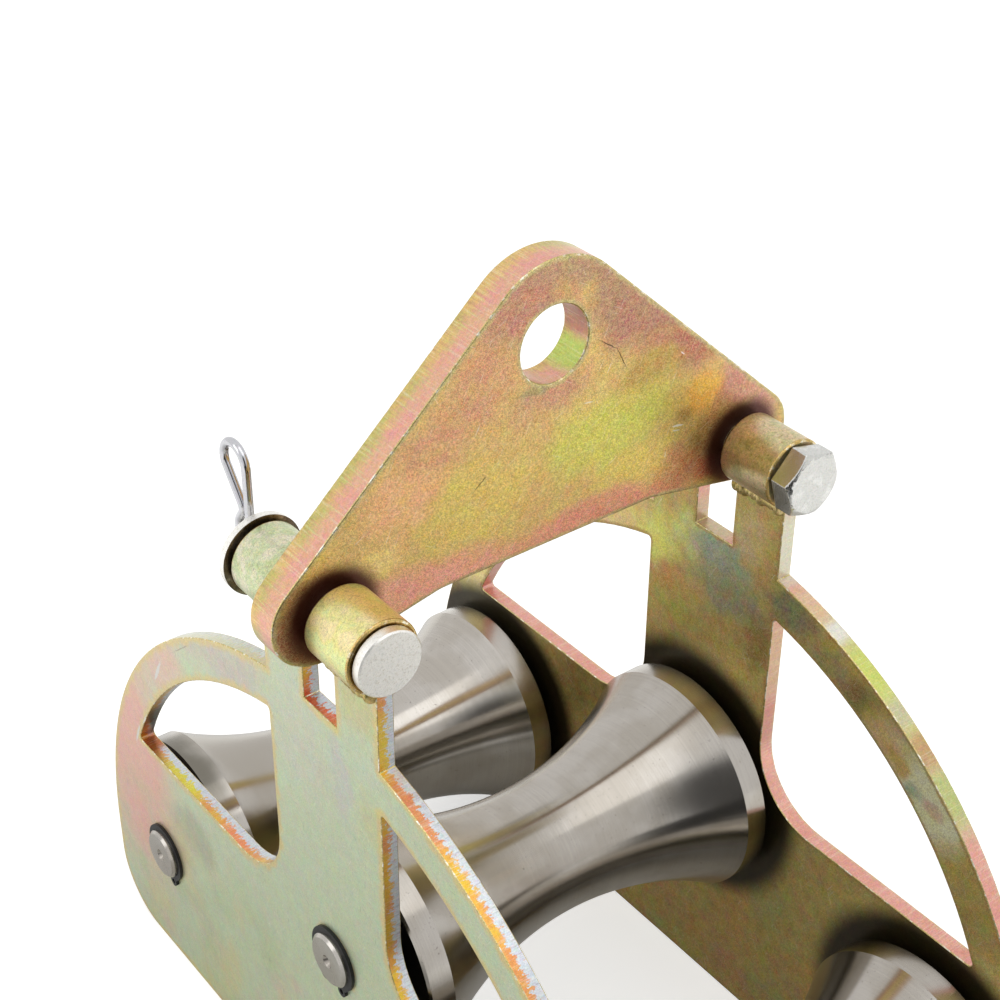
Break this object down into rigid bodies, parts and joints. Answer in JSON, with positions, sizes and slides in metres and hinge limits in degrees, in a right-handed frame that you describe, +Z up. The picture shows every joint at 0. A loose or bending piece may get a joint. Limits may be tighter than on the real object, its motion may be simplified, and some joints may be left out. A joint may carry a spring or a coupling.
{
  "type": "cable pulling sheave",
  "caption": "Hanging cable block with hourglass rollers on ball bearings between arched side plates, under an opening yoke with an eye.",
  "frame": {"origin": "on the ground, under the middle of the block", "axes": "+X along the roller axles, +Y the way the cable runs, +Z up to the eye"},
  "size_m": [0.2062, 0.333, 0.337],
  "materials": {
    "yellow_zinc_steel": "yellow passivated zinc",
    "bright_zinc_steel": "bright zinc",
    "spring_wire": "bright drawn wire",
    "turned_steel": "turned",
    "axle_steel": "drawn bar",
    "bearing_steel": "ground",
    "black_spring_steel": "phosphated",
    "seal_rubber": "moulded",
    "nylon": "moulded"
  },
  "bodies": {
    "frame": {"side_plate_left": "yellow_zinc_steel", "side_plate_right": "yellow_zinc_steel", "tube_left_front": "yellow_zinc_steel", "tube_left_rear": "yellow_zinc_steel", "tube_right_front": "yellow_zinc_steel", "tube_right_rear": "yellow_zinc_steel", "tube_welds": "yellow_zinc_steel", "pin_washer": "bright_zinc_steel", "yoke_bolt": "bright_zinc_steel", "yoke_bolt_washer": "bright_zinc_steel", "yoke_nut": "bright_zinc_steel", "yoke_nut_insert": "nylon", "axle_front": "axle_steel", "spacer_tube_front": "axle_steel", "side_spacers_front": "axle_steel", "axle_rings_front": "black_spring_steel", "bearing_front_left_inner_ring": "bearing_steel", "bearing_front_left_balls": "bearing_steel", "bearing_front_right_inner_ring": "bearing_steel", "bearing_front_right_balls": "bearing_steel", "axle_centre": "axle_steel", "spacer_tube_centre": "axle_steel", "side_spacers_centre": "axle_steel", "axle_rings_centre": "black_spring_steel", "bearing_centre_left_inner_ring": "bearing_steel", "bearing_centre_left_balls": "bearing_steel", "bearing_centre_right_inner_ring": "bearing_steel", "bearing_centre_right_balls": "bearing_steel", "axle_rear": "axle_steel", "spacer_tube_rear": "axle_steel", "side_spacers_rear": "axle_steel", "axle_rings_rear": "black_spring_steel", "bearing_rear_left_inner_ring": "bearing_steel", "bearing_rear_left_balls": "bearing_steel", "bearing_rear_right_inner_ring": "bearing_steel", "bearing_rear_right_balls": "bearing_steel"},
    "front_roller": {"roller_front": "turned_steel", "bore_rings_front": "black_spring_steel", "bearing_front_left_outer_ring": "bearing_steel", "bearing_front_left_seals": "seal_rubber", "bearing_front_right_outer_ring": "bearing_steel", "bearing_front_right_seals": "seal_rubber"},
    "centre_roller": {"roller_centre": "turned_steel", "bore_rings_centre": "black_spring_steel", "bearing_centre_left_outer_ring": "bearing_steel", "bearing_centre_left_seals": "seal_rubber", "bearing_centre_right_outer_ring": "bearing_steel", "bearing_centre_right_seals": "seal_rubber"},
    "rear_roller": {"roller_rear": "turned_steel", "bore_rings_rear": "black_spring_steel", "bearing_rear_left_outer_ring": "bearing_steel", "bearing_rear_left_seals": "seal_rubber", "bearing_rear_right_outer_ring": "bearing_steel", "bearing_rear_right_seals": "seal_rubber"},
    "yoke": {"yoke_plate": "yellow_zinc_steel"},
    "pin": {"clevis_pin": "bright_zinc_steel"},
    "clip": {"r_clip": "spring_wire"}
  },
  "joints": [
    {"name": "front_roller_spin", "type": "hinge", "parent": "frame", "child": "front_roller", "pos_m": [0, -0.1235, 0.0545], "axis": [1, 0, 0], "continuous": true},
    {"name": "centre_roller_spin", "type": "hinge", "parent": "frame", "child": "centre_roller", "pos_m": [0, 0, 0.0995], "axis": [1, 0, 0], "continuous": true},
    {"name": "rear_roller_spin", "type": "hinge", "parent": "frame", "child": "rear_roller", "pos_m": [0, 0.1235, 0.0545], "axis": [1, 0, 0], "continuous": true},
    {"name": "yoke_shift", "type": "slide", "parent": "frame", "child": "yoke", "axis": [0, 1, 0], "range_m": [-0.003, 0.003]},
    {"name": "pin_pull", "type": "slide", "parent": "frame", "child": "pin", "axis": [0, -1, 0], "range_m": [0, 0.09]},
    {"name": "clip_pull", "type": "slide", "parent": "pin", "child": "clip", "axis": [0, 0, 1], "range_m": [0, 0.04], "deforming": ["r_clip"]}
  ]
}
